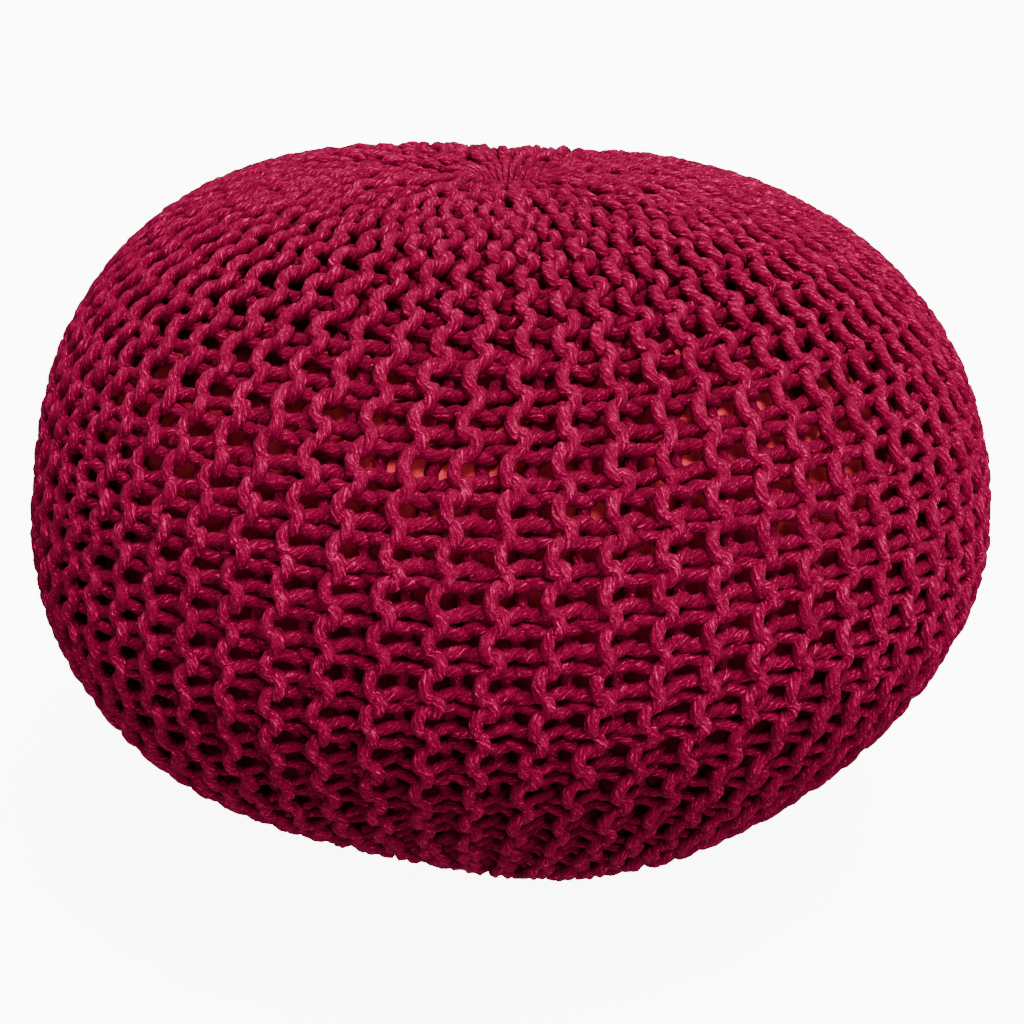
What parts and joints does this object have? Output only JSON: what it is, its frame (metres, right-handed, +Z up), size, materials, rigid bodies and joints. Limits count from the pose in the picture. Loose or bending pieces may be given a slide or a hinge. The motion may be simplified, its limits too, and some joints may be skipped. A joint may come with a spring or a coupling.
{
  "type": "knitted floor pouf",
  "caption": "Round stuffed floor pouf with a chunky ribbed cover of knitted cotton cord, gathered into a shallow dish on top and pressed flat underneath.",
  "frame": {"origin": "centre of the outline, on the floor that the flat base rests on", "axes": "+Z up along the line between the two gathers, -Y towards the side that faces the camera"},
  "size_m": [0.4904, 0.4992, 0.3621],
  "materials": {
    "cotton_cord": "raspberry red cotton cord, matt and slightly fuzzy",
    "bag_cloth": "coral red woven cotton, matt"
  },
  "bodies": {
    "root": {"knit_cover": "cotton_cord", "liner": "bag_cloth"}
  },
  "joints": []
}
